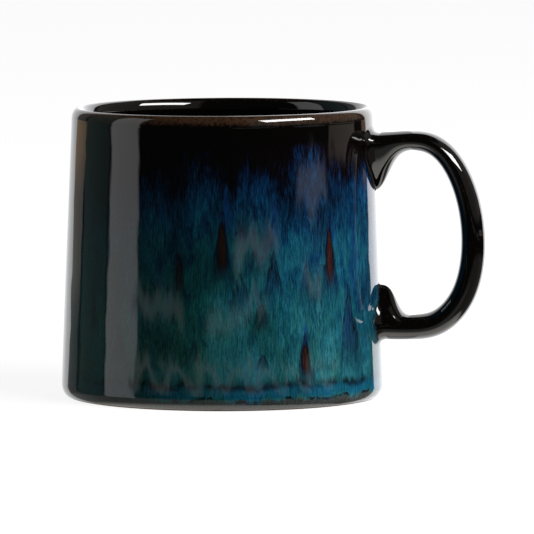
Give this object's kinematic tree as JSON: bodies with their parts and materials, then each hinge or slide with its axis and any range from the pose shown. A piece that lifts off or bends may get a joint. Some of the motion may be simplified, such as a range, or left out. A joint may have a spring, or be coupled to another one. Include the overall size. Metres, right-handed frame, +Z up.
{
  "type": "ceramic mug",
  "caption": "Slightly tapered stoneware mug with a rolled lip, a looped strap handle luted to the wall, and a reactive glaze that runs from black at the lip to teal at the foot.",
  "frame": {"origin": "on the table, at the axis of the cup", "axes": "+Z up along the cup's axis, +X from the axis towards the handle"},
  "size_m": [0.1328, 0.1006, 0.09],
  "materials": {
    "stoneware": "unglazed fired stoneware, matt and slightly gritty",
    "joining_slip": "fired slip, matt",
    "reactive_blue": "high-gloss reactive glaze that breaks from black through navy to teal in fine vertical runs",
    "black_brown": "high-gloss black glaze that breaks to brown where it thins on edges"
  },
  "bodies": {
    "root": {"cup_body": "stoneware", "handle": "stoneware", "upper_slip_joint": "joining_slip", "lower_slip_joint": "joining_slip", "outer_glaze": "reactive_blue", "liner_glaze": "black_brown", "handle_glaze": "black_brown", "underside_glaze": "black_brown"}
  },
  "joints": []
}
